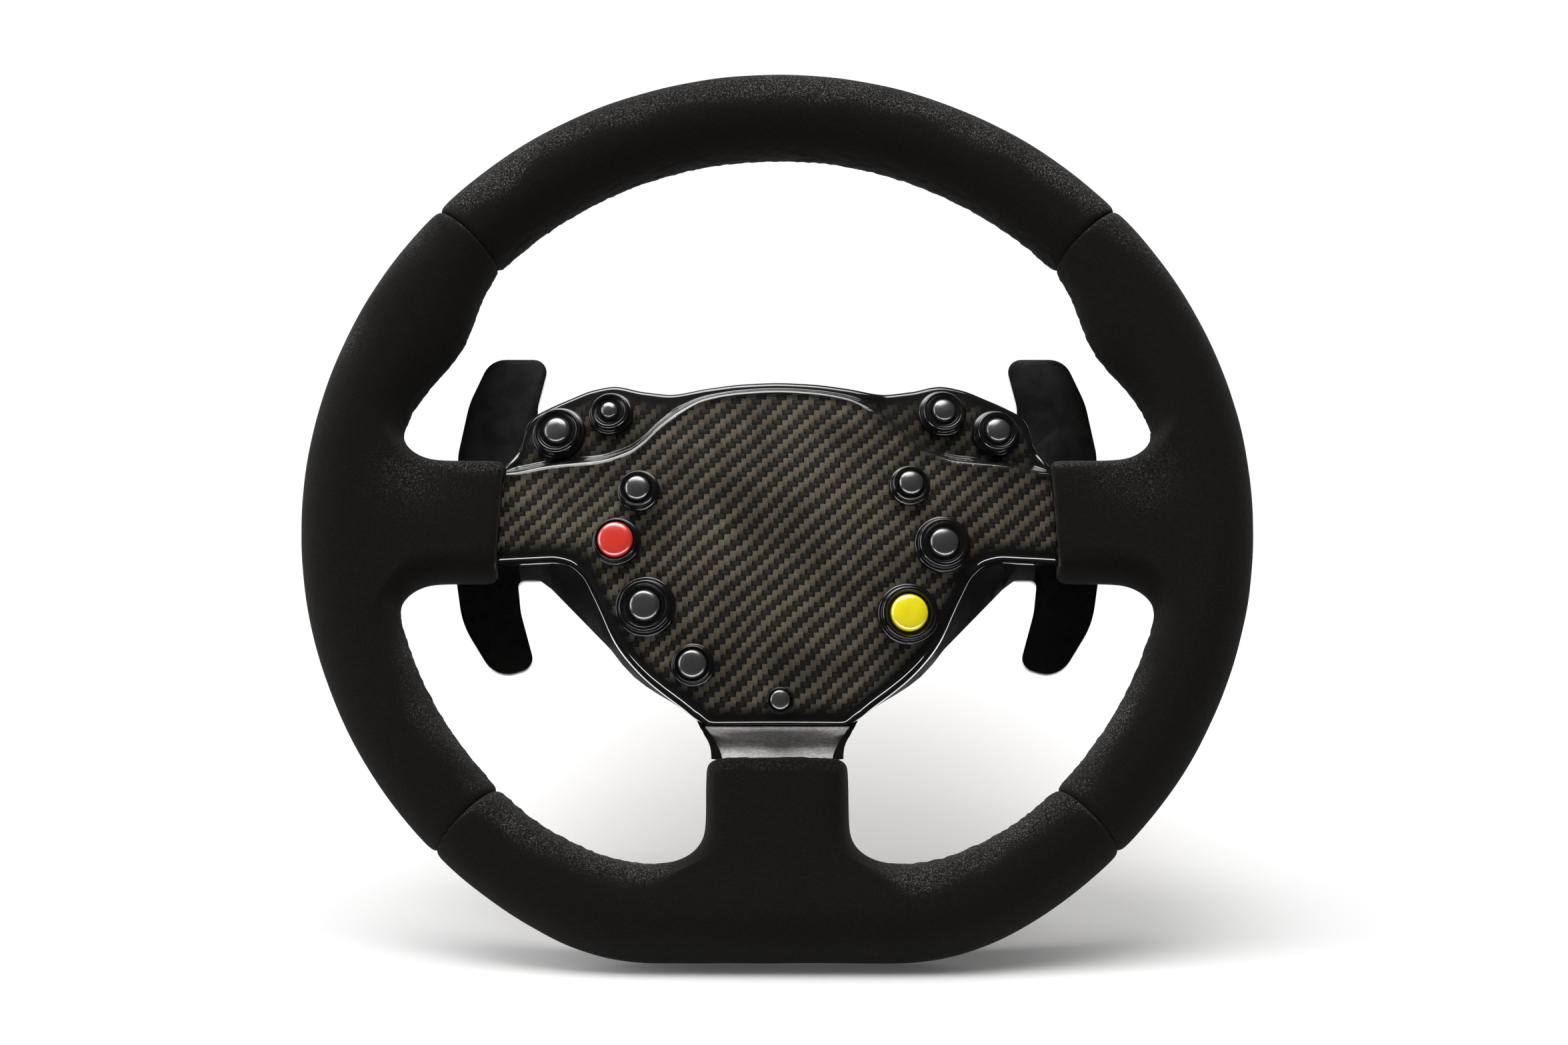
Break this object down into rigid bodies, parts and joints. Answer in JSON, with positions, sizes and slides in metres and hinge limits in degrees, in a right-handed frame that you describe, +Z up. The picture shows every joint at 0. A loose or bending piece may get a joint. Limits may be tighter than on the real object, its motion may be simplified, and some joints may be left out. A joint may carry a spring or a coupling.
{
  "type": "car steering wheel",
  "caption": "Flat-bottomed racing steering wheel with suede-covered rim and spokes, domed carbon fascia with push buttons, and shift paddles hinged behind it.",
  "frame": {"origin": "centre of the hub's rear mounting face, on the steering axis", "axes": "+X to the driver's right, +Y away from the driver along the steering axis, +Z up along the face of the wheel"},
  "size_m": [0.32, 0.0563, 0.31],
  "materials": {
    "suede": "black suede leather",
    "foam": "moulded foam",
    "frame_metal": "cast, bare",
    "carbon": "twill carbon fibre under clear lacquer",
    "trim_metal": "dark, grained",
    "housing_plastic": "fine texture",
    "hub_metal": "turned",
    "screw_steel": "black oxide",
    "board": "green solder mask",
    "socket_plastic": "moulded",
    "paddle_metal": "black, blasted",
    "pin_steel": "ground",
    "bracket_metal": "satin black",
    "magnet_metal": "nickel plated",
    "cap_grey": "satin",
    "cap_red": "satin",
    "cap_yellow": "satin",
    "collar_plastic": "satin black",
    "switch_plastic": "moulded"
  },
  "bodies": {
    "wheel": {"cover_top": "suede", "cover_left": "suede", "cover_right": "suede", "cover_bottom": "suede", "rim_foam": "foam", "rim_frame": "frame_metal", "fascia": "carbon", "lower_trim": "trim_metal", "rear_housing": "housing_plastic", "hub_spacer": "hub_metal", "hub_screws": "screw_steel", "housing_screws": "screw_steel", "circuit_board": "board", "wiring_socket": "socket_plastic", "hinge_pin_left": "pin_steel", "hinge_pin_right": "pin_steel", "hinge_bracket_left": "bracket_metal", "hinge_bracket_right": "bracket_metal", "magnet_left": "magnet_metal", "magnet_right": "magnet_metal", "collar_1": "collar_plastic", "collar_2": "collar_plastic", "collar_3": "collar_plastic", "collar_4": "collar_plastic", "collar_5": "collar_plastic", "collar_6": "collar_plastic", "collar_7": "collar_plastic", "collar_8": "collar_plastic", "collar_9": "collar_plastic", "collar_10": "collar_plastic", "collar_11": "collar_plastic", "collar_12": "collar_plastic", "switch_1": "switch_plastic", "switch_2": "switch_plastic", "switch_3": "switch_plastic", "switch_4": "switch_plastic", "switch_5": "switch_plastic", "switch_6": "switch_plastic", "switch_7": "switch_plastic", "switch_8": "switch_plastic", "switch_9": "switch_plastic", "switch_10": "switch_plastic", "switch_11": "switch_plastic", "switch_12": "switch_plastic"},
    "button_1": {"cap_1": "cap_grey"},
    "button_2": {"cap_2": "cap_grey"},
    "button_3": {"cap_3": "cap_grey"},
    "button_4": {"cap_4": "cap_red"},
    "button_5": {"cap_5": "cap_grey"},
    "button_6": {"cap_6": "cap_grey"},
    "button_7": {"cap_7": "cap_grey"},
    "button_8": {"cap_8": "cap_grey"},
    "button_9": {"cap_9": "cap_grey"},
    "button_10": {"cap_10": "cap_grey"},
    "button_11": {"cap_11": "cap_yellow"},
    "button_12": {"cap_12": "cap_grey"},
    "paddle_left": {"paddle_left": "paddle_metal"},
    "paddle_right": {"paddle_right": "paddle_metal"}
  },
  "joints": [
    {"name": "button_1_press", "type": "slide", "parent": "wheel", "child": "button_1", "axis": [0.1865, 0.9795, -0.0761], "range_m": [0, 0.0015], "stiffness_N_per_m": 800, "springref_m": -0.001},
    {"name": "button_2_press", "type": "slide", "parent": "wheel", "child": "button_2", "axis": [0.1428, 0.9855, -0.0918], "range_m": [0, 0.0015], "stiffness_N_per_m": 800, "springref_m": -0.001},
    {"name": "button_3_press", "type": "slide", "parent": "wheel", "child": "button_3", "axis": [0.1189, 0.9928, -0.0174], "range_m": [0, 0.0015], "stiffness_N_per_m": 800, "springref_m": -0.001},
    {"name": "button_4_press", "type": "slide", "parent": "wheel", "child": "button_4", "axis": [0.1371, 0.9902, 0.0275], "range_m": [0, 0.002], "stiffness_N_per_m": 800, "springref_m": -0.001},
    {"name": "button_5_press", "type": "slide", "parent": "wheel", "child": "button_5", "axis": [0.1119, 0.99, 0.0854], "range_m": [0, 0.002], "stiffness_N_per_m": 800, "springref_m": -0.001},
    {"name": "button_6_press", "type": "slide", "parent": "wheel", "child": "button_6", "axis": [0.0714, 0.9882, 0.1354], "range_m": [0, 0.0015], "stiffness_N_per_m": 800, "springref_m": -0.001},
    {"name": "button_7_press", "type": "slide", "parent": "wheel", "child": "button_7", "axis": [-0.1416, 0.9857, -0.0918], "range_m": [0, 0.0015], "stiffness_N_per_m": 800, "springref_m": -0.001},
    {"name": "button_8_press", "type": "slide", "parent": "wheel", "child": "button_8", "axis": [-0.1865, 0.9795, -0.0761], "range_m": [0, 0.0015], "stiffness_N_per_m": 800, "springref_m": -0.001},
    {"name": "button_9_press", "type": "slide", "parent": "wheel", "child": "button_9", "axis": [-0.1135, 0.9933, -0.0218], "range_m": [0, 0.0015], "stiffness_N_per_m": 800, "springref_m": -0.001},
    {"name": "button_10_press", "type": "slide", "parent": "wheel", "child": "button_10", "axis": [-0.1409, 0.9896, 0.0299], "range_m": [0, 0.002], "stiffness_N_per_m": 800, "springref_m": -0.001},
    {"name": "button_11_press", "type": "slide", "parent": "wheel", "child": "button_11", "axis": [-0.111, 0.9896, 0.0916], "range_m": [0, 0.002], "stiffness_N_per_m": 800, "springref_m": -0.001},
    {"name": "button_12_press", "type": "slide", "parent": "wheel", "child": "button_12", "axis": [-0.0023, 0.9863, 0.1652], "range_m": [0, 0.0015], "stiffness_N_per_m": 800, "springref_m": -0.001},
    {"name": "paddle_left_pull", "type": "hinge", "parent": "wheel", "child": "paddle_left", "pos_m": [-0.058, -0.0145, 0.006], "axis": [0, 0, 1], "range_deg": [0, 5], "stiffness_Nm_per_rad": 1.2, "springref_deg": -5.73},
    {"name": "paddle_right_pull", "type": "hinge", "parent": "wheel", "child": "paddle_right", "pos_m": [0.058, -0.0145, 0.006], "axis": [0, 0, -1], "range_deg": [0, 5], "stiffness_Nm_per_rad": 1.2, "springref_deg": -5.73}
  ]
}
